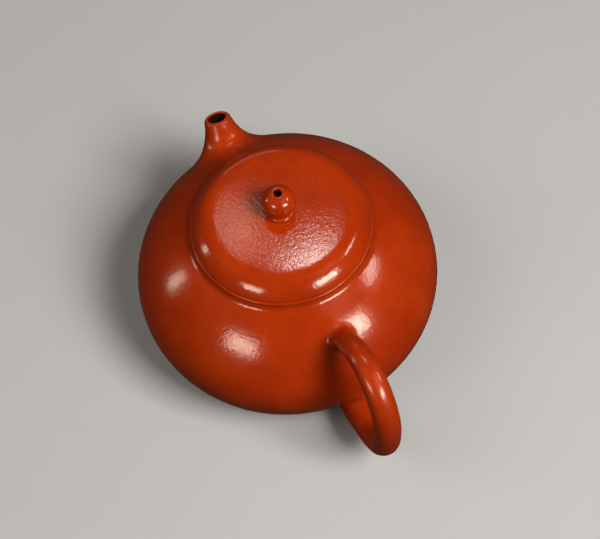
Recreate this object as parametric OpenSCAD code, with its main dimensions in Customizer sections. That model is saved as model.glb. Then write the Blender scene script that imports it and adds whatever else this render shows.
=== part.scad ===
// Round clay teapot with a pressed dome lid, a ball knob, a short flared spout and a loop handle.
// Millimetres. The pot's axis is Z, the table is z = 0, the spout points to +X and the handle to -X.
// The pieces are the slabs, rings and rolls that the potter joins with slip. Only the lid lifts off.

/* [Belly] */
// Radius of the pot at its widest
belly_r = 44; // [41:0.5:46]
// Height of the widest line above the table
belly_z = 21; // [19:0.25:21.2]
// Radius of the belly's curve in section
belly_curve = 21.3; // [21.25:0.05:23]
// Lean of the wall where the belly's curve passes into the shoulder's
shoulder_start = 30; // [24:1:34]
// Thickness of the wall
wall = 2.8; // [2.2:0.1:3.4]
// Radius at which the wall's foot ends and the base disc begins
foot_inner_r = 23; // [21:0.25:24]
// Thickness of the base disc
base_t = 2.4; // [1.8:0.1:3]
// Height of the base disc's rim above the table
base_lift = 0.3; // [0.1:0.1:0.8]
// Height that the base disc is pressed up at its middle
base_rise = 1.6; // [0.8:0.1:2.4]

/* [Mouth] */
// Height of the lid's seat above the table
seat_z = 49.5; // [48.5:0.25:51]
// Radius of the hollow curve between the neck and the shoulder
neck_fillet = 3; // [2.5:0.1:3.6]
// Radius of the neck's rounded edge under the lid
neck_edge = 0.4; // [0.2:0.05:0.6]
// Radius of the rounded edge round the mouth
mouth_edge = 0.3; // [0.1:0.05:0.5]
// Radius of the mouth
mouth_r = 22.4; // [20:0.1:24]
// Width of the ledge that the lid rests on, from the mouth to the neck's edge
ledge_w = 3.3; // [3:0.1:4]
// How far the shoulder disc reaches down the shoulder from the neck
disc_reach = 3.8; // [2.6:0.1:5]
// Thickness of the shoulder disc round the mouth
disc_t = 2.9; // [2.2:0.1:3.4]
// Height of the neck ring's inner face
neck_ring_h = 2.1; // [1.8:0.1:2.4]

/* [Lid] */
// Lean of the lid's flank at the seat
flank_lean = 26; // [22:1:30]
// Lean at which the flank turns over into the crown
crown_start = 47; // [43:0.5:51]
// Radius of the flank's curve
flank_curve = 13.7; // [12.5:0.1:15]
// Radius of the crown's curve
crown_curve = 6; // [5:0.1:7]
// Slope of the dome where the crown runs into it
dome_slope = 4; // [3:0.25:5]
// Radius of the lid's rounded edge at the seam
lid_edge_r = 0.4; // [0.2:0.05:0.6]
// How far the lid's edge stands back from the neck's edge
lid_inset = 0.25; // [0.1:0.05:0.5]
// Thickness of the flat plate that the dome is joined to
plate_t = 2; // [1.6:0.1:2.4]
// Thickness of the dome at its middle
dome_t = 3.2; // [2.6:0.1:3.6]
// Gap between the lid's flange and the mouth
lid_gap = 0.3; // [0.2:0.05:0.6]
// Thickness of the flange
flange_t = 2; // [1.6:0.1:2.6]
// Depth of the flange below the seat
flange_depth = 6.5; // [5.5:0.25:8]
// Radius of the flange's rounded lower edges
flange_edge = 0.6; // [0.3:0.05:0.8]

/* [Knob] */
// Radius of the ball
ball_r = 4.75; // [4.4:0.05:5.2]
// Height of the collar under the ball
collar_h = 1.5; // [1.3:0.05:1.8]
// Radius of the collar
collar_r = 4.1; // [3.8:0.05:4.4]
// Radius of the flat where the ball meets the collar
ball_joint_r = 3; // [2.6:0.05:3.2]
// Depth of the flat that is scraped on the dome under the collar
collar_seat = 0.03; // [0.03:0.01:0.06]
// Radius of the air hole
air_hole_r = 1.05; // [0.8:0.05:1.3]

/* [Spout] */
// How far the spout's mouth stands inside the belly's widest line
spout_inset = 1.4; // [0:0.1:2.4]
// How far the spout's mouth lies below the lid's seat
spout_drop = 3.6; // [2.6:0.1:4.6]
// Angle of the spout's upper end above the table
spout_rise = 64; // [60:1:68]
// Outer radius of the spout's lip
spout_lip_r = 4.2; // [3.8:0.1:4.6]
// Radius of the lip's rounded outer edge
lip_edge = 0.9; // [0.5:0.1:1.1]
// How far the spout draws in below its lip
lip_draw = 0.25; // [0.1:0.05:0.5]
// Radius of the outlet
outlet_r = 2.7; // [2.3:0.05:2.9]
// Length of the straight outlet
outlet_len = 4.5; // [3.5:0.25:5.5]
// Radius of the channel at the foot of the spout
channel_r = 4.4; // [3.8:0.1:4.8]
// Length of the channel from the lip to the middle of the spout's foot
channel_len = 11; // [10:0.25:12]
// Distance from the neck down the shoulder to the middle of the spout's foot
spout_down = 14.5; // [13.6:0.1:15.6]
// Length of the spout's foot up and down the body, from its middle
spout_foot_l = 12.2; // [11:0.1:12.6]
// Width of the spout's foot round the body, from its middle
spout_foot_w = 13.4; // [12:0.1:15]
// Straightness of the spout below its lip
spout_neck_pull = 4.6; // [3.5:0.1:6]
// Flare of the spout where it runs out on the body
spout_foot_pull = 7.2; // [6:0.1:8]

/* [Strainer] */
// Outer radius of the strainer, which fits the hole in the wall
strainer_r = 6.5; // [6:0.1:6.8]
// Thickness of the strainer
strainer_t = 1.3; // [1:0.05:1.5]
// Radius of each hole
strain_hole_r = 0.85; // [0.7:0.05:0.95]
// Angle between the rings of holes
strain_hole_step = 28; // [26:0.5:29]
// Number of rings of holes round the middle one
strain_rings = 2; // [1:1:2]

/* [Handle] */
// How far the handle's middle line stands out past the belly
handle_out = 17.5; // [15:0.5:20]
// Height of the handle's outermost point above the belly's widest line
handle_above = 9.5; // [8:0.5:11]
// Distance from the neck down the shoulder to the middle of the handle's upper root
handle_top_down = 10.5; // [9.5:0.1:11.5]
// Distance from the belly's widest line down to the middle of the handle's lower root
handle_low_down = 16.75; // [15:0.25:18]
// Direction in which the handle leaves its upper root
handle_top_rise = 53; // [48:1:58]
// Direction in which the handle leaves its lower root
handle_low_rise = 17.5; // [12:0.5:22]
// Pull of the upper root on the handle's curve
handle_top_pull = 25; // [22:0.5:27]
// Pull of the handle's outermost point on the arm above it
handle_back_pull = 14; // [11:0.5:17]
// Pull of the handle's outermost point on the arm below it
handle_under_pull = 20; // [17:0.5:22]
// Pull of the lower root on the handle's curve
handle_low_pull = 18.5; // [16:0.5:21]
// Width of the handle where it leaves the upper root
handle_top_w = 6.4; // [5.6:0.1:7.4]
// Width of the handle at its outermost point
handle_back_w = 7.7; // [6.6:0.1:8.6]
// Width of the handle where it meets the lower root
handle_low_w = 8.7; // [7.6:0.1:9.6]
// Thickness of the handle where it leaves the upper root
handle_top_t = 5.9; // [5.2:0.1:6.8]
// Thickness of the handle at its outermost point
handle_back_t = 7.1; // [6.2:0.1:8]
// Thickness of the handle where it meets the lower root
handle_low_t = 8; // [7:0.1:8.8]
// How far each root spreads past the handle's own section
root_spread = 1.9; // [1.2:0.1:2.6]

/* [Fits] */
// Film of slip between a curved piece and what it is joined to
slip = 0.05; // [0.04:0.01:0.08]
// Thickness of the edge where a root runs out on the body
root_edge = 0.15; // [0.1:0.01:0.2]

/* [Hidden] */
$fn = 96;
CLAY = "#a8380f";
DARK_CLAY = "#8c2d0c";
OVER = 1;            // how far a cutter runs past what it cuts
ARC_STEP = 3;        // degrees between the points of an arc
EDGE_STEP = 30;      // degrees between the points of a small rounded edge
SPOUT_SIDES = 48;
SPOUT_ROWS = 22;
HANDLE_SIDES = 40;
HANDLE_ROWS = 15;    // rows along each half of the handle
ROOT_ROWS = 7;       // rows along the blend at each root
SEAT_ROWS = 4;       // rows across the face that lies on the body
INWARD = 0.98;       // scale of an oval just inside a root's edge, which gives the direction there
BLEND_PULL = 0.42;   // pull at both ends of a root's blend, as a share of its length
ARM_START = 0.11;    // where the upper blend ends on the handle's middle line
ARM_END = 1.86;      // where the lower blend begins on it

// ---- The body's outline: belly arc, shoulder arc and neck fillet, each tangent to the next.
neck_r = mouth_r + ledge_w;
belly_c = [belly_r - belly_curve, belly_z];
fillet_c = [neck_r + neck_fillet, seat_z - neck_edge];
belly_to_fillet = fillet_c - belly_c;
start_dir = [cos(shoulder_start), sin(shoulder_start)];
// The shoulder's radius makes it tangent to the belly where it starts and to the fillet where it ends.
reach = belly_curve + neck_fillet;
shoulder_more = (belly_to_fillet * belly_to_fillet - reach * reach)
    / (2 * (reach - belly_to_fillet * start_dir));
shoulder_curve = belly_curve + shoulder_more;
shoulder_c = belly_c - shoulder_more * start_dir;
shoulder_end = atan2(fillet_c[1] - shoulder_c[1], fillet_c[0] - shoulder_c[0]);
disc_start = walk(shoulder_end, -disc_reach);
spout_seat = walk(shoulder_end, -spout_down);
handle_top = walk(shoulder_end, -handle_top_down);
handle_low = walk(0, -handle_low_down);
foot_end = -asin(belly_z / belly_curve);

function arc(c, r, from, to, step = ARC_STEP) =
    let (steps = max(2, ceil(abs(to - from) / step)))
    [for (i = [0:steps]) let (a = from + (to - from) * i / steps) c + r * [cos(a), sin(a)]];

// A point of the outline where the wall leans by a, pushed out by off.
function outline(a, off = 0) = a < shoulder_start
    ? belly_c + (belly_curve + off) * [cos(a), sin(a)]
    : shoulder_c + (shoulder_curve + off) * [cos(a), sin(a)];

// The same point, turned about the pot's axis.
function on_body(a, turn, off = 0) =
    let (p = outline(a, off)) [p[0] * cos(turn), p[0] * sin(turn), p[1]];

// The lean after walking a length l up the outline from lean a.
function walk(a, l) =
    let (
        start_l = (shoulder_start - a) * PI / 180,
        on_belly = a < shoulder_start,
        to_start = on_belly ? start_l * belly_curve : start_l * shoulder_curve
    )
    on_belly
        ? (l <= to_start ? a + l / belly_curve * 180 / PI
                         : shoulder_start + (l - to_start) / shoulder_curve * 180 / PI)
        : (l >= to_start ? a + l / shoulder_curve * 180 / PI
                         : shoulder_start + (l - to_start) / belly_curve * 180 / PI);

// ---- Body pieces
module body_wall() {
    inner = belly_curve - wall;
    inner_foot = -acos((foot_inner_r - belly_c[0]) / inner);
    profile = concat(
        [[foot_inner_r, 0]],
        arc(belly_c, belly_curve, foot_end, shoulder_start),
        arc(shoulder_c, shoulder_curve, shoulder_start, disc_start),
        arc(shoulder_c, shoulder_curve - wall, disc_start, shoulder_start),
        arc(belly_c, inner, shoulder_start, inner_foot)
    );
    color(CLAY)
    difference() {
        rotate_extrude() polygon(profile);
        at_spout_seat() translate([0, 0, -wall - OVER]) cylinder(r = strainer_r + slip, h = wall + 2 * OVER);
    }
}

module base_disc() {
    curve = (foot_inner_r * foot_inner_r + base_rise * base_rise) / (2 * base_rise);
    half = asin(foot_inner_r / curve);
    under_c = [0, base_lift + base_rise - curve];
    profile = concat(
        arc(under_c, curve, 90, 90 - half),
        arc(under_c + [0, base_t], curve, 90 - half, 90)
    );
    color(DARK_CLAY) rotate_extrude() polygon(profile);
}

disc_top = seat_z - neck_ring_h;
disc_under = disc_top - disc_t;

module shoulder_disc() {
    top_end = asin((disc_top - shoulder_c[1]) / shoulder_curve);
    under_end = asin((disc_under - shoulder_c[1]) / (shoulder_curve - wall));
    profile = concat(
        arc(shoulder_c, shoulder_curve, disc_start, top_end),
        [[mouth_r, disc_top], [mouth_r, disc_under]],
        arc(shoulder_c, shoulder_curve - wall, under_end, disc_start)
    );
    color(CLAY) rotate_extrude() polygon(profile);
}

module neck_ring() {
    top_end = asin((disc_top - shoulder_c[1]) / shoulder_curve);
    profile = concat(
        [[mouth_r, disc_top]],
        arc(shoulder_c, shoulder_curve, top_end, shoulder_end),
        arc(fillet_c, neck_fillet, shoulder_end + 180, 180),
        arc([neck_r - neck_edge, seat_z - neck_edge], neck_edge, 0, 90, EDGE_STEP),
        arc([mouth_r + mouth_edge, seat_z - mouth_edge], mouth_edge, 90, 180, EDGE_STEP)
    );
    color(CLAY) rotate_extrude() polygon(profile);
}

// ---- Lofted pieces: rows of points from one middle point to another, skinned with triangles.
module skin(rows, first, last) {
    n = len(rows[0]);
    count = len(rows);
    points = concat([first], [for (row = rows) each row], [last]);
    end = len(points) - 1;
    top = 1 + (count - 1) * n;
    faces = concat(
        [for (j = [0:n - 1]) [0, 1 + (j + 1) % n, 1 + j]],
        [for (i = [0:count - 2], j = [0:n - 1])
            let (a = 1 + i * n + j, b = 1 + i * n + (j + 1) % n) each [[a, b, b + n], [a, b + n, a + n]]],
        [for (j = [0:n - 1]) [end, top + j, top + (j + 1) % n]]
    );
    polyhedron(points, faces);
}

function bezier(a, b, c, d, t) =
    let (s = 1 - t) s * s * s * a + 3 * s * s * t * b + 3 * s * t * t * c + t * t * t * d;
function bezier_way(a, b, c, d, t) =
    let (s = 1 - t) 3 * s * s * (b - a) + 6 * s * t * (c - b) + 3 * t * t * (d - c);
function unit(v) = v / norm(v);

// An oval on the body round the lean a0 on the side that side gives, scaled by k, at angle q round it.
function oval(a0, side, l, w, k, q, off) =
    let (r0 = outline(a0)[0])
    on_body(walk(a0, k * l * cos(q)), side + k * w * sin(q) / r0 * 180 / PI, off);

// ---- Spout
spout_tip = [belly_r - spout_inset, 0, seat_z - spout_drop];
spout_dir = [cos(spout_rise), 0, sin(spout_rise)];
spout_up = [-sin(spout_rise), 0, cos(spout_rise)];

function spout_point(q, t) =
    let (
        out = cos(q) * spout_up + sin(q) * [0, 1, 0],
        lip = spout_tip + spout_lip_r * out - lip_edge * spout_dir,
        foot = oval(spout_seat, 0, spout_foot_l, spout_foot_w, 1, q, root_edge),
        inside = oval(spout_seat, 0, spout_foot_l, spout_foot_w, INWARD, q, root_edge)
    )
    bezier(lip, lip - spout_neck_pull * spout_dir - lip_draw * out,
           foot + spout_foot_pull * unit(inside - foot), foot, t);

// The lip's rounded edge, from the flat round the outlet at a = 90 to the outside at a = 0.
function lip_point(q, a) =
    let (out = cos(q) * spout_up + sin(q) * [0, 1, 0])
    spout_tip + (spout_lip_r - lip_edge * (1 - cos(a))) * out - lip_edge * (1 - sin(a)) * spout_dir;

module spout() {
    turns = [for (j = [0:SPOUT_SIDES - 1]) 360 * j / SPOUT_SIDES];
    lip = [for (a = [90:-EDGE_STEP:EDGE_STEP]) [for (q = turns) lip_point(q, a)]];
    outside = [for (i = [0:SPOUT_ROWS]) [for (q = turns) spout_point(q, i / SPOUT_ROWS)]];
    under = [for (i = [0:SEAT_ROWS - 1])
        [for (q = turns) oval(spout_seat, 0, spout_foot_l, spout_foot_w, 1 - i / SEAT_ROWS, q, slip)]];
    widen = (channel_r - outlet_r) / (channel_len - outlet_len);
    run_on = 8;      // the channel's cone runs on past the spout's slanting foot
    color(CLAY)
    difference() {
        skin(concat(lip, outside, under), spout_tip, on_body(spout_seat, 0, slip));
        translate(spout_tip) rotate([0, 90 - spout_rise, 0]) {
            translate([0, 0, -outlet_len]) cylinder(r = outlet_r, h = outlet_len + OVER);
            translate([0, 0, -channel_len - run_on])
                cylinder(r1 = channel_r + widen * run_on, r2 = outlet_r,
                         h = channel_len + run_on - outlet_len);
        }
    }
}

// ---- Strainer: a short tube in the wall's hole, closed by a pierced dome on the inside.
module at_spout_seat() {
    p = outline(spout_seat);
    translate([p[0], 0, p[1]]) rotate([0, 90 - spout_seat, 0]) children();
}

module strainer() {
    recess = 0.7;    // the tube stops short of the body's curved outer face
    color(DARK_CLAY)
    at_spout_seat() translate([0, 0, -wall]) difference() {
        union() {
            cylinder(r = strainer_r, h = wall - recess);
            dome_half(strainer_r);
        }
        translate([0, 0, -slip]) cylinder(r = strainer_r - strainer_t, h = wall + OVER);
        dome_half(strainer_r - strainer_t);
        for (ring = [0:strain_rings], i = [0:max(1, 6 * ring) - 1])
            rotate([0, 0, i * 360 / max(1, 6 * ring)]) rotate([180 - ring * strain_hole_step, 0, 0])
                translate([0, 0, strainer_r - 2 * strainer_t])
                    cylinder(r = strain_hole_r, h = 3 * strainer_t, $fn = 24);
    }
}

module dome_half(r) {
    rotate_extrude() polygon(concat([[0, 0]], arc([0, 0], r, 0, -90)));
}

// ---- Handle
handle_a = outline(handle_top);
handle_b = outline(handle_low);
handle_up = [-handle_a[0], handle_a[1]];
handle_back = [-belly_r - handle_out, belly_z + handle_above];
handle_down = [-handle_b[0], handle_b[1]];
handle_up_pull = handle_up + handle_top_pull * [-cos(handle_top_rise), sin(handle_top_rise)];
handle_down_pull = handle_down + handle_low_pull * [-cos(handle_low_rise), sin(handle_low_rise)];

// The middle line runs from 0 at the upper root through 1 at the back to 2 at the lower root.
function handle_line(s) = s < 1
    ? bezier(handle_up, handle_up_pull, handle_back + [0, handle_back_pull], handle_back, s)
    : bezier(handle_back, handle_back - [0, handle_under_pull], handle_down_pull, handle_down, s - 1);
function handle_way(s) = unit(s < 1
    ? bezier_way(handle_up, handle_up_pull, handle_back + [0, handle_back_pull], handle_back, s)
    : bezier_way(handle_back, handle_back - [0, handle_under_pull], handle_down_pull, handle_down, s - 1));
function handle_w(s) = lookup(s, [[0, handle_top_w], [1, handle_back_w], [2, handle_low_w]]) / 2;
function handle_t(s) = lookup(s, [[0, handle_top_t], [1, handle_back_t], [2, handle_low_t]]) / 2;

function handle_point(s, q) =
    let (p = handle_line(s), way = handle_way(s), k = handle_t(s) * cos(q))
    [p[0] + k * way[1], handle_w(s) * sin(q), p[1] - k * way[0]];

function root_oval(low, k, q, off) = low
    ? oval(handle_low, 180, -handle_low_t / 2 - root_spread, -handle_low_w / 2 - root_spread, k, q, off)
    : oval(handle_top, 180, handle_top_t / 2 + root_spread, -handle_top_w / 2 - root_spread, k, q, off);

// The blend at a root, from the body at t = 0 to the handle's own section at t = 1.
function root_point(low, s, q, t) =
    let (
        foot = root_oval(low, 1, q, root_edge),
        inside = root_oval(low, INWARD, q, root_edge),
        arm = handle_point(s, q),
        way = handle_way(s) * (low ? 1 : -1),
        pull = BLEND_PULL * norm(arm - foot)
    )
    bezier(foot, foot + pull * unit(inside - foot), arm + pull * [way[0], 0, way[1]], arm, t);

module handle() {
    turns = [for (j = [0:HANDLE_SIDES - 1]) 360 * j / HANDLE_SIDES];
    seat_up = [for (i = [1:SEAT_ROWS]) [for (q = turns) root_oval(false, i / SEAT_ROWS, q, slip)]];
    root_up = [for (i = [0:ROOT_ROWS - 1]) [for (q = turns) root_point(false, ARM_START, q, i / ROOT_ROWS)]];
    arm = [for (i = [0:2 * HANDLE_ROWS]) let (s = ARM_START + (ARM_END - ARM_START) * i / (2 * HANDLE_ROWS))
        [for (q = turns) handle_point(s, q)]];
    root_low = [for (i = [ROOT_ROWS - 1:-1:0]) [for (q = turns) root_point(true, ARM_END, q, i / ROOT_ROWS)]];
    seat_low = [for (i = [SEAT_ROWS:-1:1]) [for (q = turns) root_oval(true, i / SEAT_ROWS, q, slip)]];
    color(CLAY)
    skin(concat(seat_up, root_up, arm, root_low, seat_low),
         on_body(handle_top, 180, slip), on_body(handle_low, 180, slip));
}

// ---- Lid: flank, crown and dome, each tangent to the next, with a rounded edge at the seam.
lid_r = neck_r - lid_inset;
flank_c = [lid_r, seat_z] - flank_curve * [cos(flank_lean), sin(flank_lean)];
crown_c = flank_c + (flank_curve - crown_curve) * [cos(crown_start), sin(crown_start)];
crown_end = 90 - dome_slope;
dome_edge = crown_c + crown_curve * [cos(crown_end), sin(crown_end)];
dome_curve = dome_edge[0] / sin(dome_slope);
dome_c = [0, dome_edge[1] - dome_curve * cos(dome_slope)];
dome_top = dome_c[1] + dome_curve;
edge_lean = asin((seat_z + lid_edge_r - flank_c[1]) / (flank_curve - lid_edge_r));
edge_c = flank_c + (flank_curve - lid_edge_r) * [cos(edge_lean), sin(edge_lean)];
plate_top = seat_z + plate_t;
plate_lean = asin((plate_top - flank_c[1]) / flank_curve);
flange_r = mouth_r - lid_gap;
flange_inner_r = flange_r - flange_t;
collar_z = dome_top - collar_seat;

module lid_plate() {
    profile = concat(
        [[flange_inner_r, seat_z]],
        arc(edge_c, lid_edge_r, -90, edge_lean, EDGE_STEP),
        arc(flank_c, flank_curve, edge_lean, plate_lean),
        [[flange_inner_r, plate_top]]
    );
    color(CLAY) rotate_extrude() polygon(profile);
}

module lid_dome() {
    seat_slope = acos((dome_curve - collar_seat) / dome_curve);
    under_rise = dome_top - dome_t - plate_top;
    under_curve = (flange_inner_r * flange_inner_r + under_rise * under_rise) / (2 * under_rise);
    under_c = [0, plate_top + under_rise - under_curve];
    profile = concat(
        arc(flank_c, flank_curve, plate_lean, crown_start),
        arc(crown_c, crown_curve, crown_start, crown_end),
        arc(dome_c, dome_curve, crown_end, 90 - seat_slope),
        [[air_hole_r, collar_z]],
        arc(under_c, under_curve, acos(air_hole_r / under_curve), acos(flange_inner_r / under_curve))
    );
    color(CLAY) rotate_extrude() polygon(profile);
}

module lid_flange() {
    low = seat_z - flange_depth;
    profile = concat(
        [[flange_inner_r, seat_z]],
        arc([flange_inner_r + flange_edge, low + flange_edge], flange_edge, 180, 270, EDGE_STEP),
        arc([flange_r - flange_edge, low + flange_edge], flange_edge, 270, 360, EDGE_STEP),
        [[flange_r, seat_z]]
    );
    color(DARK_CLAY) rotate_extrude() polygon(profile);
}

module knob_collar() {
    roll = collar_h / 2;
    color(DARK_CLAY)
    translate([0, 0, collar_z]) rotate_extrude() polygon(concat(
        [[air_hole_r, 0]],
        arc([collar_r - roll, roll], roll, -90, 90, EDGE_STEP / 2),
        [[air_hole_r, collar_h]]
    ));
}

module knob_ball() {
    drop = sqrt(ball_r * ball_r - ball_joint_r * ball_joint_r);
    joint_z = collar_z + collar_h;
    color(CLAY)
    difference() {
        translate([0, 0, joint_z + drop]) sphere(ball_r);
        translate([0, 0, joint_z - ball_r]) cylinder(r = ball_r, h = ball_r);
        translate([0, 0, joint_z - OVER]) cylinder(r = air_hole_r, h = 2 * ball_r + OVER);
    }
}

body_wall();
base_disc();
shoulder_disc();
neck_ring();
spout();
strainer();
handle();
lid_plate();
lid_dome();
lid_flange();
knob_collar();
knob_ball();
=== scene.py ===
import math

import bmesh
import bpy
import numpy as np
from mathutils import Matrix, Vector, noise


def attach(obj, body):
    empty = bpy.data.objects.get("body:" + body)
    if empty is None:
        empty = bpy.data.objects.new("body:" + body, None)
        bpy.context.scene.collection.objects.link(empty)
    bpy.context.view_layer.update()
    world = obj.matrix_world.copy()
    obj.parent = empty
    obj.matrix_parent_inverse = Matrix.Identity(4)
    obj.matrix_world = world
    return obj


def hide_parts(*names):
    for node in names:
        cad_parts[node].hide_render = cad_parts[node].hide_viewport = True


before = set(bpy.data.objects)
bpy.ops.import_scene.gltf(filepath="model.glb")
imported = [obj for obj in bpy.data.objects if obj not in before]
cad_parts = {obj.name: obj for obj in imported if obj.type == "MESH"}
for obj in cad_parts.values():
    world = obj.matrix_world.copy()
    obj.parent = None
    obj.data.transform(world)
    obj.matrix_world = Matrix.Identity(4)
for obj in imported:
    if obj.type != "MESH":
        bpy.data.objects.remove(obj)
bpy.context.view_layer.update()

# ---- Sizes in millimetres and angles in degrees. The pot's axis is Z, the table is z = 0, the spout points
# to +X. A lean is how far a surface looks up from the horizontal: 0 at the belly's widest line, 90 on top.
# A pull is how far a curve keeps the direction in which it leaves one of its ends.
BELLY_R = 44
BELLY_Z = 21             # height of the widest line
BELLY_CURVE = 21.3
SHOULDER_START = 30      # lean where the belly passes into the shoulder
WALL = 2.8
FOOT_INNER_R = 23
BASE_T = 2.4
BASE_LIFT = 0.3          # the base disc's edge above the table
BASE_RISE = 1.6          # how far the disc's middle is pressed up

SEAT_Z = 49.5            # height of the lid's seat
MOUTH_R = 22.4
LEDGE_W = 3.3            # width of the seat
NECK_FILLET = 3
NECK_EDGE = 0.4
MOUTH_EDGE = 0.3
DISC_REACH = 3.8         # from the neck's fillet down the shoulder to the disc's edge
DISC_T = 2.9
NECK_RING_H = 2.1

FLANK_LEAN = 26          # of the lid's flank at the seam
CROWN_START = 51.4       # lean where the flank passes into the crown
FLANK_CURVE = 13.7
CROWN_CURVE = 4
DOME_SLOPE = 4           # of the dome where the crown ends
LID_EDGE_R = 0.4
LID_INSET = 0.25         # how far the lid's edge stays inside the neck's
PLATE_T = 2
DOME_T = 3.2
LID_GAP = 0.3            # between the flange and the mouth
FLANGE_T = 2
FLANGE_DEPTH = 6.5
FLANGE_EDGE = 0.6

BALL_R = 4.75
COLLAR_H = 1.5
COLLAR_R = 4.1
BALL_JOINT_R = 3         # where the ball sits on the collar
COLLAR_SEAT = 0.03       # how deep the collar is set into the dome
AIR_HOLE_R = 1.05

SPOUT_INSET = 1.4        # from the belly's widest line back to the middle of the spout's mouth
SPOUT_DROP = 3.6         # from the lid's seat down to it
SPOUT_RISE = 64          # how steeply the mouth looks up
SPOUT_LIP_R = 3.95
LIP_EDGE = 0.9
LIP_DRAW = -1.1          # how far the side is drawn in under the lip; below 0 it tapers up to the lip
OUTLET_R = 2.7
OUTLET_LEN = 4.5
CHANNEL_R = 4.4
CHANNEL_LEN = 11         # from the mouth to where the channel has that radius
SPOUT_DOWN = 14.5        # from the neck's fillet down the shoulder to the middle of the spout's foot
SPOUT_FOOT_L = 12.2      # half the foot's length, up and down the shoulder
SPOUT_FOOT_W = 13.4      # half its width, round the pot
SPOUT_NECK_PULL = 4.6
SPOUT_FOOT_PULL = 7.2
STRAINER_R = 6.5         # of the hole that the strainer fills

HANDLE_OUT = 17.5        # from the belly's widest line out to the handle's back
HANDLE_ABOVE = 9.5       # from that line up to the back
HANDLE_TOP_DOWN = 10.5   # from the neck's fillet down the shoulder to the upper root
HANDLE_LOW_DOWN = 16.75  # from the belly's widest line down to the lower root
HANDLE_TOP_RISE = 53     # how steeply the handle leaves the upper root
HANDLE_LOW_RISE = 17.5   # how steeply it leaves the lower root
HANDLE_TOP_PULL = 25
HANDLE_BACK_PULL = 14
HANDLE_UNDER_PULL = 20
HANDLE_LOW_PULL = 18.5
HANDLE_WIDTHS = (6.4, 7.7, 8.7)          # at the upper root, at the back and at the lower root
HANDLE_THICKNESSES = (5.9, 7.1, 8)
ROOT_SPREAD = 1.9        # how far a root spreads on the body beyond the arm
ROOT_BLEND_PULL = 0.42   # share of the way between a root's edge and the arm
ARM_START = 0.11         # where the upper root's blend ends on the middle line, which runs from 0 to 2
ARM_END = 1.86

# Edges that only the finished surface rounds
DISC_ROUND = 0.5
RIM_ROUND = 0.45         # round the outlet
HOLE_ROUND = 0.5         # round the air hole
FILM = 0.01              # height at which a root's edge runs out on the body

# The surface that the hand leaves
CROWN_SOFTNESS = 1.0     # how far the crown's bend is drawn out into the dome
UNEVEN = 0.03            # how far the hand's unevenness moves the clay
UNEVEN_SIZE = 11
UNEVEN_SEED = 4          # makes the unevenness the same each time
UNEVEN_INWARD = 1.2      # steady share of it that goes inwards, so that no swelling adds to the pot's size

# How finely the pieces are drawn
MM = 0.001
SIDES = 256              # of a turned piece
SPACING = 0.6            # between the points of a large arc
ARC_POINTS = 7           # fewest points of an arc, and those of a rounded corner
ARC_STEP = 6             # most degrees between two points of an arc
SOFT_STEP = 0.3          # between the points of a softened run
SOFT_FADE = 3            # reaches after which a point no longer softens another
SOFT_EASE = 4            # reaches over which the softening sets in
SHARP = 32               # an edge that bends more than this stays sharp
JUST_FITS = 0.98         # share of a side that a corner's rounding takes up
A_LITTLE_IN = 0.98       # scale of the oval that shows which way the body runs in from a root's edge
HOLE_SIDES = 64
SPOUT_SIDES = 128
SPOUT_STEPS = 56
LIP_STEPS = 9
BORE_SLACK = 0.3         # how far past the channel's side a face still counts as the channel's
CHANNEL_SEARCH = 4       # how many times the widening part's length is searched for the body's face
CHANNEL_HALVINGS = 30
HANDLE_SIDES = 96
ROOT_STEPS = 28
ARM_STEPS = 160
ROOT_SEATS = (0.4, 0.8)  # scales of the ovals that close a root on the body
SMALL_STEP = 1e-4        # along the handle's middle line, to find its direction


# ---- Lines of points
def unit(v):
    return v / np.linalg.norm(v)


def polar(radius, angle):
    return radius * np.array([math.cos(math.radians(angle)), math.sin(math.radians(angle))])


def arc(centre, radius, start, end):
    """A run of points round a centre, dense enough for its size."""
    length = radius * math.radians(abs(end - start))
    count = max(ARC_POINTS, math.ceil(length / SPACING) + 1, math.ceil(abs(end - start) / ARC_STEP) + 1)
    return np.array([centre + polar(radius, angle) for angle in np.linspace(start, end, count)])


def straight(*points):
    return np.array(points, float)


def measured(run):
    """The length of the run up to each of its points."""
    return np.r_[0, np.cumsum(np.linalg.norm(np.diff(run, axis=0), axis=1))]


def trimmed(run, start, end):
    """The same number of points on the run without its first start and last end millimetres."""
    lengths = measured(run)
    left = lengths[-1] - start - end
    wanted = start + lengths / lengths[-1] * left
    return np.stack([np.interp(wanted, lengths, axis) for axis in run.T], 1)


def joined(runs, rounds, closed=True):
    """One line through the runs. rounds gives the radius of the corner after each run, or 0 for none."""
    corners = []
    for i, radius in enumerate(rounds):
        before, after = runs[i], runs[(i + 1) % len(runs)]
        into = unit(before[-1] - before[-2])
        out = unit(after[1] - after[0])
        turn = math.acos(max(-1, min(1, into @ out)))
        corners.append((radius, into, out, turn, radius * math.tan(turn / 2)))
    line = []
    for i, run in enumerate(runs):
        first = corners[i - 1][4] if closed or i else 0
        last = corners[i][4] if i < len(corners) else 0
        kept = trimmed(run, first, last)
        line.extend(kept[:-1])
        if i == len(corners):
            line.append(kept[-1])
            break
        radius, into, out, turn, _ = corners[i]
        if radius:
            across = unit(out - (out @ into) * into)
            line.append(kept[-1])
            for bend in np.linspace(0, turn, ARC_POINTS)[1:-1]:
                line.append(kept[-1] + radius * (math.sin(bend) * into + (1 - math.cos(bend)) * across))
    return np.array(line)


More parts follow.
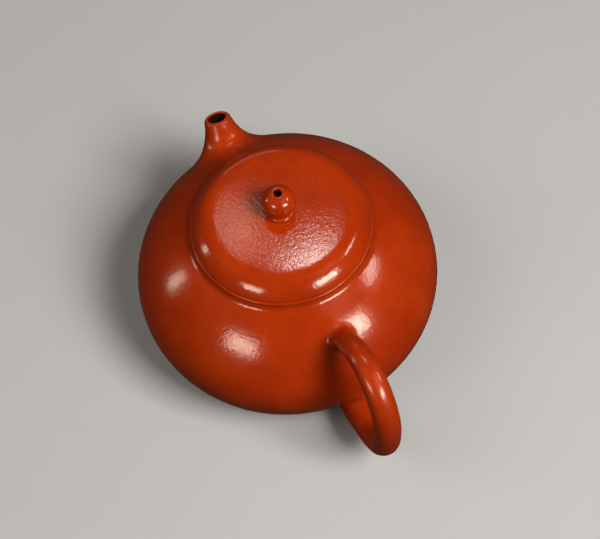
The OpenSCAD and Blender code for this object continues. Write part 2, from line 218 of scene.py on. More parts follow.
def softened(run, reach):
    """The run with its bends drawn out over about that length, except next to its first point."""
    lengths = measured(run)
    at = np.arange(0, lengths[-1], SOFT_STEP)
    even = np.stack([np.interp(at, lengths, axis) for axis in run.T], 1)
    side = math.ceil(SOFT_FADE * reach / SOFT_STEP)
    weights = np.exp(-0.5 * (np.arange(-side, side + 1) * SOFT_STEP / reach) ** 2)
    padded = np.vstack([2 * even[0] - even[side:0:-1], even, 2 * even[-1] - even[-2:-side - 2:-1]])
    smooth = np.stack([np.convolve(axis, weights / weights.sum(), "valid") for axis in padded.T], 1)
    share = np.clip(at / (SOFT_EASE * reach), 0, 1)[:, None] ** 2
    return np.vstack([even + share * (smooth - even), run[-1]])


def bezier(a, b, c, d, t):
    """The point at t, from 0 to 1, on the curve from a to d that leaves towards b and arrives from c."""
    s = 1 - t
    return s ** 3 * a + 3 * s * s * t * b + 3 * s * t * t * c + t ** 3 * d


# ---- The body's outline: belly arc, shoulder arc and neck fillet, each tangent to the next
neck_r = MOUTH_R + LEDGE_W
belly_c = np.array([BELLY_R - BELLY_CURVE, BELLY_Z])
fillet_c = np.array([neck_r + NECK_FILLET, SEAT_Z - NECK_EDGE])
start_dir = polar(1, SHOULDER_START)
to_fillet = fillet_c - belly_c
both_curves = BELLY_CURVE + NECK_FILLET
shoulder_more = (to_fillet @ to_fillet - both_curves ** 2) / (2 * (both_curves - to_fillet @ start_dir))
shoulder_curve = BELLY_CURVE + shoulder_more
shoulder_c = belly_c - shoulder_more * start_dir
shoulder_end = math.degrees(math.atan2(*(fillet_c - shoulder_c)[::-1]))
disc_top = SEAT_Z - NECK_RING_H
disc_under = disc_top - DISC_T
disc_top_lean = math.degrees(math.asin((disc_top - shoulder_c[1]) / shoulder_curve))


def outline(lean, off=0):
    """The point of the body's outline where the wall leans by that angle, pushed out by off."""
    if lean < SHOULDER_START:
        return belly_c + polar(BELLY_CURVE + off, lean)
    return shoulder_c + polar(shoulder_curve + off, lean)


def on_body(lean, turn, off=0):
    """The same point of the outline, turned about the pot's axis."""
    r, z = outline(lean, off)
    return np.array([*polar(r, turn), z])


def walk(lean, length):
    """The lean after walking a length up the outline."""
    is_belly = lean < SHOULDER_START
    here, beyond = (BELLY_CURVE, shoulder_curve) if is_belly else (shoulder_curve, BELLY_CURVE)
    to_start = math.radians(SHOULDER_START - lean) * here
    stays = length <= to_start if is_belly else length >= to_start
    if stays:
        return lean + math.degrees(length / here)
    return SHOULDER_START + math.degrees((length - to_start) / beyond)


def oval(middle, side, half_l, half_w, scale, q, off):
    """The point at angle q round an oval that lies on the body, round the point at that lean and side."""
    r = outline(middle)[0]
    lean = walk(middle, scale * half_l * math.cos(q))
    return on_body(lean, side + math.degrees(scale * half_w * math.sin(q) / r), off)


# ---- Meshes
noise.seed_set(UNEVEN_SEED)


def uneven(points):
    """The points moved by the small unevenness that the hand leaves, the same for all pieces."""
    moves = np.array([noise.noise_vector(Vector(p / UNEVEN_SIZE)) for p in points])
    flat = points * (1, 1, 0)
    inward = -flat / np.maximum(np.linalg.norm(flat, axis=1, keepdims=True), 1)
    moved = points + UNEVEN * (moves + UNEVEN_INWARD * inward)
    moved[:, 2] = np.maximum(moved[:, 2], 0)
    return moved


def skin(name, rows, closed=True, poles=None):
    """A mesh over rows of points, each a closed ring. The rows close on themselves or end in two poles."""
    count, sides = rows.shape[:2]
    points = rows.reshape(-1, 3)
    faces = []
    for i in range(count if closed else count - 1):
        a, b = i * sides, (i + 1) % count * sides
        faces += [(a + j, a + (j + 1) % sides, b + (j + 1) % sides, b + j) for j in range(sides)]
    if poles is not None:
        last = (count - 1) * sides
        faces += [(len(points), (j + 1) % sides, j) for j in range(sides)]
        faces += [(len(points) + 1, last + j, last + (j + 1) % sides) for j in range(sides)]
        points = np.vstack([points, *poles])
    mesh = bpy.data.meshes.new(name)
    mesh.from_pydata((uneven(points) * MM).tolist(), [], faces)
    work = bmesh.new()
    work.from_mesh(mesh)
    bmesh.ops.recalc_face_normals(work, faces=work.faces)
    work.to_mesh(mesh)
    work.free()
    piece = bpy.data.objects.new(name, mesh)
    bpy.context.scene.collection.objects.link(piece)
    return piece


def turned(name, line, poles=False):
    """A piece turned about the pot's axis from its line of (radius, height). poles closes it on the axis."""
    turns = np.radians(np.arange(SIDES) * 360 / SIDES)
    rows = np.stack([line[:, :1] * np.cos(turns), line[:, :1] * np.sin(turns),
                     np.repeat(line[:, 1:], SIDES, 1)], 2)
    if not poles:
        return skin(name, rows)
    return skin(name, rows[1:-1], closed=False, poles=(rows[0, :1], rows[-1, :1]))


def settle(piece, body, finish, inner=None, is_inner=None):
    """Gives a piece its finish and smooth shading with sharp corners, hangs it on its body, and hides the
    CAD node that it stands for.
    """
    mesh = piece.data
    mesh.materials.append(finish)
    if inner:
        mesh.materials.append(inner)
        for face in mesh.polygons:
            face.material_index = int(is_inner(Vector(face.center) / MM))
    mesh.shade_smooth()
    mesh.set_sharp_from_angle(angle=math.radians(SHARP))
    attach(piece, body)
    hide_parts(piece.name.removesuffix("_clay"))


# ---- Finishes
CLAY = (0.45, 0.034, 0.002, 1)
CLAY_DEEP = (0.37, 0.025, 0.0015, 1)
CLAY_GRAIN = (0.72, 0.24, 0.07, 1)
CLAY_PIT = (0.12, 0.012, 0.004, 1)
CLAY_INSIDE = (0.36, 0.06, 0.016, 1)
# Painted shade: near-black colours for the inside of the spout's channel and of the knob's air hole,
# standing in for the shade deep in these narrow holes
BORE_SHADE_PALE = (0.03, 0.009, 0.004, 1)
BORE_SHADE_DARK = (0.012, 0.004, 0.002, 1)
CLAY_GLEAM = (0.78, 0.72, 0.6, 1)
FLOOR_PALE = (0.52, 0.505, 0.48, 1)
FLOOR_PALER = (0.55, 0.535, 0.51, 1)

CLAY_IOR = 1.5
CLOUD_SIZE = 16          # sizes and depths in millimetres
CLOUD_LOW = 0.35         # values of the clouds' noise between which the clay turns lighter
CLOUD_HIGH = 0.68
SPECK_SIZE = 0.9         # of the patches where a grain or a pit may lie
GRAIN_ABOVE = 0.66       # value of the patches' noise above which a grain may lie
GRAIN_SPACING = 0.8
GRAIN_R = 0.13           # share of the spacing
GRAIN_STRENGTH = 0.55
PIT_BELOW = 0.33
PIT_SPACING = 1.1
PIT_R = 0.16             # share of the spacing
PIT_STRENGTH = 0.6
TEXTURE_SIZE = 0.9       # of the fine grain that rubbing leaves
STROKE_SIZE = 4
STROKE_FLATNESS = 6      # how much longer a stroke of the horn tool is than high
STROKE_DEPTH = 0.006
POLISH_SIZE = 2.2        # of the patches that are rubbed more or less
WALL_TEXTURE = 0.045     # depth of the fine grain on the wall, the disc, the neck ring and the collar
SMOOTH_TEXTURE = 0.012   # on the knob, the spout and the handle
LID_TEXTURE = 0.035
WALL_MATT = 0.12         # roughness where the clay is rubbed most
LIMB_MATT = 0.2
LID_MATT = 0.1
MATT_RANGE = 0.1         # how much rougher it is where it is rubbed least
LID_MATT_RANGE = 0.08
WRINKLES_FADE = 18       # distance from the axis where the lid's wrinkles begin to fade
WRINKLES_END = 24
WRINKLES_WANDER = 5      # how far that border wanders inwards
WANDER_SIZE = 7
FOLD_SIZE = 1.15
FOLD_DEPTH = 0.04
SWELL_SIZE = 2.6
SWELL_DEPTH = 0.015
INNER_MATT = 0.62
INNER_MATT_SIZE = 1.5
STAIN_SIZE = 6
SCRAPE_SIZE = 0.5
SCRAPE_DEPTH = 0.03
DENT_SIZE = 3
DENT_DEPTH = 0.05

FLOOR_MATT = 0.9
FLOOR_CLOUD_SIZE = 90
FLOOR_GRAIN_SIZE = 3
FLOOR_GRAIN_DEPTH = 0.02


class Value:
    """A socket of a material's nodes that takes part in Python arithmetic."""

    def __init__(self, finish, socket):
        self.finish, self.socket = finish, socket

    def maths(self, operation, *inputs):
        return self.finish.node("ShaderNodeMath", {"operation": operation}, dict(enumerate(inputs)))

    def __add__(self, other):
        return self.maths("ADD", self, other)

    def __sub__(self, other):
        return self.maths("SUBTRACT", self, other)

    def __rsub__(self, other):
        return self.maths("SUBTRACT", other, self)

    def __mul__(self, other):
        return self.maths("MULTIPLY", self, other)

    def above(self, other):
        """1 where it is greater, 0 elsewhere."""
        return self.maths("GREATER_THAN", self, other)

    def size(self):
        return self.maths("ABSOLUTE", self)

    __radd__ = __add__
    __rmul__ = __mul__


class Finish:
    """One material, written as expressions on Values. Positions and sizes in it are in millimetres."""

    def __init__(self, name):
        self.material = bpy.data.materials.new(name)
        self.material.use_nodes = True
        self.nodes = self.material.node_tree.nodes
        self.links = self.material.node_tree.links
        self.nodes.clear()
        place = self.node("ShaderNodeTexCoord", out="Object")
        self.place = self.node("ShaderNodeVectorMath", {"operation": "SCALE"}, {0: place, "Scale": 1 / MM})

    def node(self, kind, settings=None, sockets=None, out=0):
        """Adds a node, sets it up, feeds its sockets and gives back one of its outputs."""
        node = self.nodes.new(kind)
        for name, value in (settings or {}).items():
            setattr(node, name, value)
        for name, value in (sockets or {}).items():
            if isinstance(value, Value):
                self.links.new(value.socket, node.inputs[name])
            else:
                node.inputs[name].default_value = value
        return Value(self, node.outputs[out]) if len(node.outputs) else node

    def noise(self, size, detail=2, roughness=0.5, distortion=0, place=None):
        """Noise from 0 to 1 with features of about that size."""
        return self.node("ShaderNodeTexNoise", {}, {
            "Vector": place or self.place, "Scale": 1 / size, "Detail": detail,
            "Roughness": roughness, "Distortion": distortion})

    def to_speck(self, spacing):
        """Distance from the nearest of scattered points, as a share of their spacing."""
        sockets = {"Vector": self.place, "Scale": 1 / spacing}
        return self.node("ShaderNodeTexVoronoi", {}, sockets, "Distance")

    def stretched(self, scale):
        """The place, scaled along each axis."""
        return self.node("ShaderNodeVectorMath", {"operation": "MULTIPLY"}, {0: self.place, 1: scale})

    def ramp(self, value, low, high):
        """0 up to low, 1 from high on, and a smooth rise between them."""
        return self.node("ShaderNodeMapRange", {"interpolation_type": "SMOOTHSTEP"}, {
            "Value": value, "From Min": low, "From Max": high})

    def mix(self, factor, a, b):
        return self.node("ShaderNodeMix", {"data_type": "RGBA"}, {0: factor, 6: a, 7: b}, 2)

    def from_axis(self):
        """Distance from the pot's axis."""
        flat = self.stretched((1, 1, 0))
        return self.node("ShaderNodeVectorMath", {"operation": "LENGTH"}, {0: flat}, "Value")

    def close(self, colour, roughness, height, gleam=CLAY_GLEAM):
        """The surface itself. height is the relief in millimetres and gleam the tint of what it mirrors."""
        bump = self.node("ShaderNodeBump", {}, {"Height": height, "Distance": MM, "Strength": 1.0})
        surface = self.node("ShaderNodeBsdfPrincipled", {}, {
            "Base Color": colour, "Roughness": roughness, "Normal": bump, "IOR": CLAY_IOR,
            "Specular Tint": gleam})
        self.node("ShaderNodeOutputMaterial", {}, {"Surface": surface})
        return self.material


def clay_colour(finish):
    """Deeper and lighter clouds in the clay, with a few pale grains and dark pits."""
    clouds = finish.ramp(finish.noise(CLOUD_SIZE, detail=4, roughness=0.6), CLOUD_LOW, CLOUD_HIGH)
    colour = finish.mix(clouds, CLAY_DEEP, CLAY)
    rare = finish.noise(SPECK_SIZE, detail=0)
    grains = (GRAIN_R - finish.to_speck(GRAIN_SPACING)).above(0) * rare.above(GRAIN_ABOVE)
    pits = (PIT_R - finish.to_speck(PIT_SPACING)).above(0) * (PIT_BELOW - rare).above(0)
    colour = finish.mix(grains * GRAIN_STRENGTH, colour, CLAY_GRAIN)
    return finish.mix(pits * PIT_STRENGTH, colour, CLAY_PIT)


def burnished(finish, texture_depth):
    """The relief of rubbed clay: fine grain and the faint strokes of the horn tool round the pot."""
    grain = finish.noise(TEXTURE_SIZE)
    strokes = finish.noise(STROKE_SIZE, place=finish.stretched((1, 1, STROKE_FLATNESS)))
    return grain * texture_depth + strokes * STROKE_DEPTH


def burnished_clay(name, texture_depth, matt):
    finish = Finish(name)
    roughness = matt + MATT_RANGE * finish.noise(POLISH_SIZE, detail=3)
    return finish.close(clay_colour(finish), roughness, burnished(finish, texture_depth))


def wrinkled_clay():
    """The lid's clay: burnished at the rim, and drawn into fine wrinkles over the middle of its dome."""
    finish = Finish("wrinkled_clay")
    border = finish.from_axis() + WRINKLES_WANDER * finish.noise(WANDER_SIZE)
    middle = 1 - finish.ramp(border, WRINKLES_FADE, WRINKLES_END)
    folds = (finish.noise(FOLD_SIZE, detail=3, roughness=0.55, distortion=0.5) - 0.5).size()
    swells = finish.noise(SWELL_SIZE, distortion=0.6)
    relief = burnished(finish, LID_TEXTURE) + middle * (FOLD_DEPTH * folds + SWELL_DEPTH * swells)
    roughness = LID_MATT + LID_MATT_RANGE * finish.noise(POLISH_SIZE, detail=3)
    return finish.close(clay_colour(finish), roughness, relief)


def inner_clay(name, pale, dark, gleam=CLAY_GLEAM):
    """The clay inside, which is left matt: pale where it is only scraped, dark where tea has stained it.
    Given two near-black colours and a near-black gleam, it is painted shade instead.
    """
    finish = Finish(name)
    colour = finish.mix(finish.noise(STAIN_SIZE, detail=3), dark, pale)
    scrapes = finish.noise(SCRAPE_SIZE, detail=3, roughness=0.6)
    dents = finish.noise(DENT_SIZE)
    roughness = INNER_MATT + MATT_RANGE * finish.noise(INNER_MATT_SIZE)
    return finish.close(colour, roughness, SCRAPE_DEPTH * scrapes + DENT_DEPTH * dents, gleam)


outside = burnished_clay("burnished_clay", WALL_TEXTURE, WALL_MATT)
knob_clay = burnished_clay("knob_clay", SMOOTH_TEXTURE, WALL_MATT)
limb_clay = burnished_clay("limb_clay", SMOOTH_TEXTURE, LIMB_MATT)
lid_top = wrinkled_clay()
inside = inner_clay("inner_clay", CLAY_INSIDE, CLAY_DEEP)
# Painted shade: the bore is coloured near-black and mirrors almost nothing, standing in for the shade inside
# the spout's channel and the air hole
bore = inner_clay("bore_shade_clay", BORE_SHADE_PALE, BORE_SHADE_DARK, BORE_SHADE_DARK)

# ---- Body
disc_start = walk(shoulder_end, -DISC_REACH)
spout_seat = walk(shoulder_end, -SPOUT_DOWN)
handle_top = walk(shoulder_end, -HANDLE_TOP_DOWN)
handle_low = walk(0, -HANDLE_LOW_DOWN)


def body_wall():
    foot_end = -math.degrees(math.asin(BELLY_Z / BELLY_CURVE))
    inner = BELLY_CURVE - WALL
    inner_foot = -math.degrees(math.acos((FOOT_INNER_R - belly_c[0]) / inner))
    foot = belly_c + polar(BELLY_CURVE, foot_end)
    line = joined([
        straight((FOOT_INNER_R, 0), foot),
        arc(belly_c, BELLY_CURVE, foot_end, SHOULDER_START),
        arc(shoulder_c, shoulder_curve, SHOULDER_START, disc_start),
        straight(outline(disc_start), outline(disc_start, -WALL)),
        arc(shoulder_c, shoulder_curve - WALL, disc_start, SHOULDER_START),
        arc(belly_c, inner, SHOULDER_START, inner_foot),
        straight(belly_c + polar(inner, inner_foot), (FOOT_INNER_R, 0)),
    ], [0] * 7)
    wall = turned("body_wall_clay", line)
    pierce(wall)
    settle(wall, "pot", outside, inside, inside_of_wall)


def inside_of_wall(p):
    """True for a point on the wall's inner face."""
    r = math.hypot(p.x, p.y)
    centre, curve = belly_c, BELLY_CURVE
    if math.degrees(math.atan2(p.z - belly_c[1], r - belly_c[0])) > SHOULDER_START:
        centre, curve = shoulder_c, shoulder_curve
    return math.hypot(r - centre[0], p.z - centre[1]) < curve - WALL / 2


def pierce(wall):
    """Cuts the strainer's hole through the wall under the spout."""
    at = outline(spout_seat)
    through = Vector((*polar(1, spout_seat), 0)).xzy
    tool = bpy.data.meshes.new("hole")
    work = bmesh.new()
    bmesh.ops.create_cone(work, cap_ends=True, segments=HOLE_SIDES, radius1=STRAINER_R * MM,
                          radius2=STRAINER_R * MM, depth=4 * WALL * MM)
    work.to_mesh(tool)
    work.free()
    cutter = bpy.data.objects.new("hole", tool)
    bpy.context.scene.collection.objects.link(cutter)
    middle = Vector((at[0], 0, at[1])) - through * WALL / 2
    turn = through.to_track_quat("Z", "Y").to_matrix().to_4x4()
    cutter.matrix_world = Matrix.Translation(middle * MM) @ turn
    cut = wall.modifiers.new("hole", "BOOLEAN")
    cut.operation, cut.solver, cut.object = "DIFFERENCE", "EXACT", cutter
    bpy.context.view_layer.update()
    pierced = bpy.data.meshes.new_from_object(wall.evaluated_get(bpy.context.evaluated_depsgraph_get()))
    wall.modifiers.clear()
    wall.data = pierced
    pierced.name = wall.name
    bpy.data.objects.remove(cutter)


def base_disc():
    """The bottom's disc, pressed up in the middle."""
    curve = (FOOT_INNER_R ** 2 + BASE_RISE ** 2) / (2 * BASE_RISE)
    half = math.degrees(math.asin(FOOT_INNER_R / curve))
    under = np.array([0, BASE_LIFT + BASE_RISE - curve])
    over = under + (0, BASE_T)
    line = joined([
        arc(under, curve, 90, 90 - half),
        straight(under + polar(curve, 90 - half), over + polar(curve, 90 - half)),
        arc(over, curve, 90 - half, 90),
    ], [0, 0], closed=False)
    settle(turned("base_disc_clay", line, poles=True), "pot", inside)


def shoulder_disc():
    under_lean = math.degrees(math.asin((disc_under - shoulder_c[1]) / (shoulder_curve - WALL)))
    line = joined([
        arc(shoulder_c, shoulder_curve, disc_start, disc_top_lean),
        straight(shoulder_c + polar(shoulder_curve, disc_top_lean), (MOUTH_R, disc_top)),
        straight((MOUTH_R, disc_top), (MOUTH_R, disc_under)),
        straight((MOUTH_R, disc_under), shoulder_c + polar(shoulder_curve - WALL, under_lean)),
        arc(shoulder_c, shoulder_curve - WALL, under_lean, disc_start),
        straight(outline(disc_start, -WALL), outline(disc_start)),
    ], [0, 0, DISC_ROUND, 0, 0, 0])
    settle(turned("shoulder_disc_clay", line), "pot", outside, inside, inside_of_wall)


def neck_ring():
    line = joined([
        straight((MOUTH_R, disc_top), shoulder_c + polar(shoulder_curve, disc_top_lean)),
        arc(shoulder_c, shoulder_curve, disc_top_lean, shoulder_end),
        arc(fillet_c, NECK_FILLET, shoulder_end + 180, 180),
        straight((neck_r, SEAT_Z - NECK_EDGE), (neck_r, SEAT_Z)),
        straight((neck_r, SEAT_Z), (MOUTH_R, SEAT_Z)),
        straight((MOUTH_R, SEAT_Z), (MOUTH_R, disc_top)),
    ], [0, 0, 0, NECK_EDGE * JUST_FITS, MOUTH_EDGE, 0])
    settle(turned("neck_ring_clay", line), "pot", outside)


# ---- Spout
spout_tip = np.array([BELLY_R - SPOUT_INSET, 0, SEAT_Z - SPOUT_DROP])
spout_way = np.array([math.cos(math.radians(SPOUT_RISE)), 0, math.sin(math.radians(SPOUT_RISE))])


def spout():
    """A loft from the round lip to the oval foot on the body, with the channel inside."""
    tip, way = spout_tip, spout_way
    up = np.array([-way[2], 0, way[0]])

    def line(q):
        """The closed line at angle q round the spout: up the outside, over the lip and down the channel."""
        out = math.cos(q) * up + math.sin(q) * np.array([0, 1, 0])
        foot = oval(spout_seat, 0, SPOUT_FOOT_L, SPOUT_FOOT_W, 1, q, FILM)
        inward = unit(oval(spout_seat, 0, SPOUT_FOOT_L, SPOUT_FOOT_W, A_LITTLE_IN, q, FILM) - foot)
        edge_c = tip + (SPOUT_LIP_R - LIP_EDGE) * out - LIP_EDGE * way
        lip = edge_c + LIP_EDGE * out
        under_lip = lip - SPOUT_NECK_PULL * way - LIP_DRAW * out
        steps = np.linspace(0, 1, SPOUT_STEPS)[:, None]
        outer = bezier(foot, foot + SPOUT_FOOT_PULL * inward, under_lip, lip, steps)
        bends = np.radians(np.linspace(0, 90, LIP_STEPS))[:, None]
        lip_edge = edge_c + LIP_EDGE * (np.cos(bends) * out + np.sin(bends) * way)
        edge = tip + OUTLET_R * out
        throat = edge - OUTLET_LEN * way
        mouth = channel_end(throat, tip + CHANNEL_R * out - CHANNEL_LEN * way)
        return joined([
            outer, lip_edge, straight(lip_edge[-1], edge), straight(edge, throat), straight(throat, mouth),
            straight(mouth, foot),
        ], [0, 0, RIM_ROUND, 0, 0, 0])

    turns = np.linspace(0, 2 * math.pi, SPOUT_SIDES, endpoint=False)
    rows = np.array([line(q) for q in turns]).transpose(1, 0, 2)
    # the channel's faces get the bore's painted shade
    settle(skin("spout_clay", rows), "pot", limb_clay, bore, in_channel)


def in_channel(p):
    """True for a point of the spout on the channel's side, below the rounded rim."""
    depth = float(np.dot(spout_tip - p, spout_way))
    widening = (CHANNEL_R - OUTLET_R) / (CHANNEL_LEN - OUTLET_LEN) * max(0, depth - OUTLET_LEN)
    from_middle = math.dist(p, spout_tip - depth * spout_way)
    return depth > RIM_ROUND / 2 and from_middle < OUTLET_R + widening + BORE_SLACK


def channel_end(start, towards):
    """Where the channel's side, run on from start, reaches the body's outer face."""
    low, high = 0, CHANNEL_SEARCH
    for _ in range(CHANNEL_HALVINGS):
        middle = (low + high) / 2
        x, y, z = start + middle * (towards - start)
        above = math.hypot(math.hypot(x, y) - shoulder_c[0], z - shoulder_c[1]) > shoulder_curve + FILM
        low, high = (middle, high) if above else (low, middle)
    return start + low * (towards - start)


# ---- Handle
def handle():
    """A loop along a middle line in the plane y = 0, spread at both ends into roots on the body."""
    mirror = (-1, 1)
    top = outline(handle_top) * mirror
    back = np.array([-BELLY_R - HANDLE_OUT, BELLY_Z + HANDLE_ABOVE])
    low = outline(handle_low) * mirror
    top_pull = top + HANDLE_TOP_PULL * (polar(1, HANDLE_TOP_RISE) * mirror)
    low_pull = low + HANDLE_LOW_PULL * (polar(1, HANDLE_LOW_RISE) * mirror)

    def middle(s):
        """The middle line: 0 at the upper root, 1 at the back, 2 at the lower root."""
        if s < 1:
            return bezier(top, top_pull, back + (0, HANDLE_BACK_PULL), back, s)
        return bezier(back, back - (0, HANDLE_UNDER_PULL), low_pull, low, s - 1)

    def way(s):
        return unit(middle(min(s + SMALL_STEP, 2)) - middle(max(s - SMALL_STEP, 0)))

    def section(s, q):
        """The point at angle q round the arm."""
        half_w = np.interp(s, (0, 1, 2), HANDLE_WIDTHS) / 2
        half_t = np.interp(s, (0, 1, 2), HANDLE_THICKNESSES) / 2
        (x, z), (along_x, along_z), k = middle(s), way(s), half_t * math.cos(q)
        return np.array([x + k * along_z, half_w * math.sin(q), z - k * along_x])

    def root(is_low, scale, q, off):
        """The point at angle q round a root's edge on the body, or round a smaller oval inside it."""
        i, sign, lean = (2, -1, handle_low) if is_low else (0, 1, handle_top)
        half_l = HANDLE_THICKNESSES[i] / 2 + ROOT_SPREAD
        half_w = HANDLE_WIDTHS[i] / 2 + ROOT_SPREAD
        return oval(lean, 180, sign * half_l, -half_w, scale, q, off)

    def blend(is_low, s, q, t):
        """The point at t, from 0 on a root's edge to 1 on the arm."""
        foot, arm = root(is_low, 1, q, FILM), section(s, q)
        inward = unit(root(is_low, A_LITTLE_IN, q, FILM) - foot)
        along = way(s) * (1 if is_low else -1)
        pull = ROOT_BLEND_PULL * np.linalg.norm(arm - foot)
        return bezier(foot, foot + pull * inward, arm + pull * np.array([along[0], 0, along[1]]), arm, t)

    turns = np.linspace(0, 2 * math.pi, HANDLE_SIDES, endpoint=False)
    steps = np.linspace(0, 1, ROOT_STEPS, endpoint=False)
    rows = [[root(False, scale, q, 0) for q in turns] for scale in ROOT_SEATS]
    rows += [[blend(False, ARM_START, q, t) for q in turns] for t in steps]
    rows += [[section(s, q) for q in turns] for s in np.linspace(ARM_START, ARM_END, ARM_STEPS)]
    rows += [[blend(True, ARM_END, q, t) for q in turns] for t in steps[:0:-1]]
    rows += [[blend(True, ARM_END, q, 0) for q in turns]]
    rows += [[root(True, scale, q, 0) for q in turns] for scale in ROOT_SEATS[::-1]]
    poles = ([on_body(handle_top, 180)], [on_body(handle_low, 180)])
    settle(skin("handle_clay", np.array(rows), closed=False, poles=poles), "pot", limb_clay)


# ---- Lid: flank, crown and dome, each tangent to the next
lid_edge = np.array([neck_r - LID_INSET, SEAT_Z])
flank_c = lid_edge - polar(FLANK_CURVE, FLANK_LEAN)
crown_c = flank_c + polar(FLANK_CURVE - CROWN_CURVE, CROWN_START)
crown_end = 90 - DOME_SLOPE
dome_edge = crown_c + polar(CROWN_CURVE, crown_end)
dome_curve = dome_edge[0] / math.sin(math.radians(DOME_SLOPE))
dome_c = np.array([0, dome_edge[1] - dome_curve * math.cos(math.radians(DOME_SLOPE))])
dome_top = dome_c[1] + dome_curve
plate_top = SEAT_Z + PLATE_T
plate_lean = math.degrees(math.asin((plate_top - flank_c[1]) / FLANK_CURVE))
flange_r = MOUTH_R - LID_GAP
flange_inner_r = flange_r - FLANGE_T
collar_z = dome_top - COLLAR_SEAT


def lid_plate():
    line = joined([
        straight((flange_inner_r, SEAT_Z), lid_edge),
        arc(flank_c, FLANK_CURVE, FLANK_LEAN, plate_lean),
        straight(flank_c + polar(FLANK_CURVE, plate_lean), (flange_inner_r, plate_top)),
        straight((flange_inner_r, plate_top), (flange_inner_r, SEAT_Z)),
    ], [LID_EDGE_R, 0, 0, 0])
    settle(turned("lid_plate_clay", line), "lid", lid_top)


def lid_dome():
    seat_slope = math.degrees(math.acos((dome_curve - COLLAR_SEAT) / dome_curve))
    rise = dome_top - DOME_T - plate_top
    under_curve = (flange_inner_r ** 2 + rise ** 2) / (2 * rise)
    under_c = np.array([0, plate_top + rise - under_curve])
    rim = math.degrees(math.acos(flange_inner_r / under_curve))
    hole = math.degrees(math.acos(AIR_HOLE_R / under_curve))
    top = np.vstack([arc(flank_c, FLANK_CURVE, plate_lean, CROWN_START),
                     arc(crown_c, CROWN_CURVE, CROWN_START, crown_end)[1:],
                     arc(dome_c, dome_curve, crown_end, 90 - seat_slope)[1:]])
    line = joined([
        softened(top, CROWN_SOFTNESS),
        straight(dome_c + polar(dome_curve, 90 - seat_slope), (AIR_HOLE_R, collar_z)),
        straight((AIR_HOLE_R, collar_z), under_c + polar(under_curve, hole)),
        arc(under_c, under_curve, hole, rim),
        straight(under_c + polar(under_curve, rim), flank_c + polar(FLANK_CURVE, plate_lean)),
    ], [0, 0, HOLE_ROUND, 0, 0])
    settle(turned("lid_dome_clay", line), "lid", lid_top, inside,
           lambda p: under_lid(p, under_c, under_curve))


def under_lid(p, centre, curve):
    """True for a point on the dome's underside."""
    return abs(math.hypot(math.hypot(p.x, p.y) - centre[0], p.z - centre[1]) - curve) < COLLAR_SEAT


def lid_flange():
    low = SEAT_Z - FLANGE_DEPTH
    line = joined([
        straight((flange_r, low), (flange_r, SEAT_Z)),
        straight((flange_r, SEAT_Z), (flange_inner_r, SEAT_Z)),
        straight((flange_inner_r, SEAT_Z), (flange_inner_r, low)),
        straight((flange_inner_r, low), (flange_r, low)),
    ], [0, 0, FLANGE_EDGE, FLANGE_EDGE])
    settle(turned("lid_flange_clay", line), "lid", inside)


# ---- Knob
def knob_collar():
    """A small roll of clay, flat where it is pressed on the dome."""
    roll = COLLAR_H / 2
    centre = np.array([COLLAR_R - roll, collar_z + roll])
    line = joined([
        straight((AIR_HOLE_R, collar_z), centre - (0, roll)),
        arc(centre, roll, -90, 90),
        straight(centre + (0, roll), (AIR_HOLE_R, collar_z + COLLAR_H)),
        straight((AIR_HOLE_R, collar_z + COLLAR_H), (AIR_HOLE_R, collar_z)),
    ], [0, 0, 0, 0])
    settle(turned("knob_collar_clay", line), "lid", outside)


def knob_ball():
    drop = math.sqrt(BALL_R ** 2 - BALL_JOINT_R ** 2)
    centre = np.array([0, collar_z + COLLAR_H + drop])
    hole = math.degrees(math.acos(AIR_HOLE_R / BALL_R))
    joint = -math.degrees(math.acos(BALL_JOINT_R / BALL_R))
    line = joined([
        straight((AIR_HOLE_R, centre[1] - drop), (BALL_JOINT_R, centre[1] - drop)),
        arc(centre, BALL_R, joint, hole),
        straight(centre + polar(BALL_R, hole), (AIR_HOLE_R, centre[1] - drop)),
    ], [0, HOLE_ROUND, 0])
    # the air hole's faces get the bore's painted shade
    settle(turned("knob_ball_clay", line), "lid", knob_clay, bore,
           lambda p: math.hypot(p.x, p.y) < AIR_HOLE_R + HOLE_ROUND / 5)


for make in (body_wall, base_disc, shoulder_disc, neck_ring, spout, handle,
             lid_plate, lid_dome, lid_flange, knob_collar, knob_ball):
    make()

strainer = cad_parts["strainer"]
strainer.data.materials.clear()
strainer.data.materials.append(inside)


# ---- Studio: places and sizes in metres, angles in degrees, power in watts
FLOOR_REACH = 3.0
LID_MIDDLE = Vector((0, 0, 0.05))
DAYLIGHT = (1, 0.98, 0.95)
WARM_DAYLIGHT = (1, 0.95, 0.93)
LOW_DAYLIGHT = (1, 0.93, 0.8)
SKY = (0.9, 1, 1.1)
SKY_EDGE = (1, 0.97, 0.93)
WHITE = (1, 1, 1)
ROOM_COLOUR = (1, 0.85, 0.6, 1)
ROOM_STRENGTH = 0.04

VIEW_AZIMUTH = 158.46
VIEW_ELEVATION = 61.80
VIEW_ROLL = -6.236
VIEW_DISTANCE = 0.44142
VIEW_AIM = Vector((-0.001479, -0.003437, 0.021))
LENS = 90
SENSOR = 36
NEAREST = 0.01


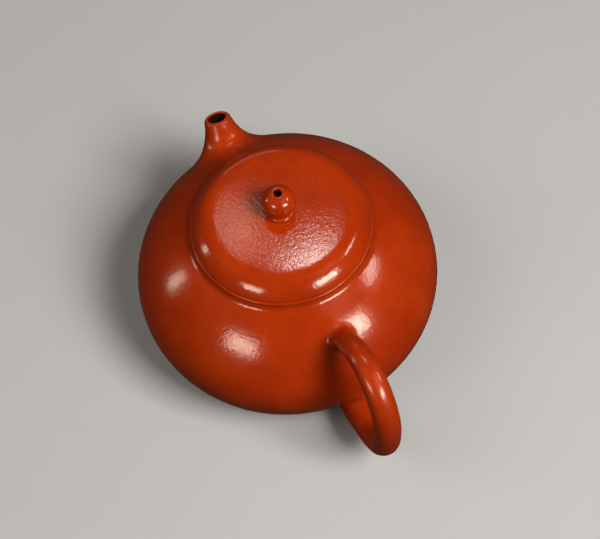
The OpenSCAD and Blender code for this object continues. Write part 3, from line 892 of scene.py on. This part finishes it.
def set_floor():
    """A pale floor that isn't mirrored in the clay and throws no light on it."""
    finish = Finish("floor")
    colour = finish.mix(finish.noise(FLOOR_CLOUD_SIZE, detail=3), FLOOR_PALE, FLOOR_PALER)
    grain = FLOOR_GRAIN_DEPTH * finish.noise(FLOOR_GRAIN_SIZE)
    mesh = bpy.data.meshes.new("floor")
    corners = [(x * FLOOR_REACH, y * FLOOR_REACH, 0) for x, y in ((-1, -1), (1, -1), (1, 1), (-1, 1))]
    mesh.from_pydata(corners, [], [(0, 1, 2, 3)])
    floor = bpy.data.objects.new("floor", mesh)
    bpy.context.scene.collection.objects.link(floor)
    mesh.materials.append(finish.close(colour, FLOOR_MATT, grain, FLOOR_PALER))
    floor.visible_glossy = floor.visible_diffuse = False


def direction(azimuth, elevation):
    """The way out from the pot. Azimuth is from the spout towards +Y."""
    flat = math.cos(math.radians(elevation))
    return Vector((flat * math.cos(math.radians(azimuth)), flat * math.sin(math.radians(azimuth)),
                   math.sin(math.radians(elevation))))


def softbox(name, azimuth, elevation, distance, size, power, colour=WHITE, is_gleam=True, turn=0):
    """A box light that faces the lid. It makes either gleams or soft light. turn rolls it on its axis."""
    lamp = bpy.data.lights.new(name, "AREA")
    lamp.shape = "RECTANGLE"
    lamp.size, lamp.size_y = size
    lamp.energy = power
    lamp.color = colour
    light = bpy.data.objects.new(name, lamp)
    towards = direction(azimuth, elevation)
    light.location = LID_MIDDLE + distance * towards
    roll = Matrix.Rotation(math.radians(turn), 3, "Z")
    light.rotation_euler = (towards.to_track_quat("Z", "Y").to_matrix() @ roll).to_euler()
    light.visible_glossy = is_gleam
    light.visible_diffuse = not is_gleam
    bpy.context.scene.collection.objects.link(light)


def set_lights():
    softbox("window_behind_handle", 199, 18, 0.9, (0.38, 0.22), 7.9, DAYLIGHT)
    softbox("window_left", 121, 18, 0.9, (0.3, 0.18), 2.8, WARM_DAYLIGHT)
    softbox("window_far_left", 60, 8, 0.9, (0.09, 0.26), 0.8, LOW_DAYLIGHT)
    softbox("window_right", 241, 30, 0.9, (0.26, 0.1), 1.6)
    softbox("window_far", 350, 22, 1.0, (0.42, 0.3), 0.35, WARM_DAYLIGHT)
    softbox("skylight_bright", 327, 69, 0.9, (0.115, 0.065), 0.9, SKY, turn=35)
    softbox("skylight_wide", 354, 61, 1.1, (0.12, 0.18), 0.42, SKY_EDGE)
    softbox("soft_side", 208, 50, 0.9, (0.38, 0.38), 8.8, is_gleam=False)
    softbox("soft_left", 80, 45, 1.2, (0.8, 0.8), 4.2, is_gleam=False)
    world = bpy.data.worlds.new("room")
    world.use_nodes = True
    background = world.node_tree.nodes["Background"]
    background.inputs["Color"].default_value = ROOM_COLOUR
    background.inputs["Strength"].default_value = ROOM_STRENGTH
    bpy.context.scene.world = world


def set_camera():
    camera = bpy.data.objects.new("camera", bpy.data.cameras.new("camera"))
    camera.data.lens = LENS
    camera.data.sensor_width = SENSOR
    camera.data.sensor_fit = "HORIZONTAL"
    camera.data.clip_start = NEAREST
    back = direction(VIEW_AZIMUTH, VIEW_ELEVATION)
    right = Vector((0, 0, 1)).cross(back).normalized()
    upright = Matrix((right, back.cross(right), back)).transposed()
    rolled = Matrix.Rotation(math.radians(VIEW_ROLL), 3, back) @ upright
    camera.matrix_world = Matrix.Translation(VIEW_AIM + VIEW_DISTANCE * back) @ rolled.to_4x4()
    bpy.context.scene.collection.objects.link(camera)
    bpy.context.scene.camera = camera


set_floor()
set_lights()
set_camera()
bpy.context.scene.view_settings.view_transform = "Standard"
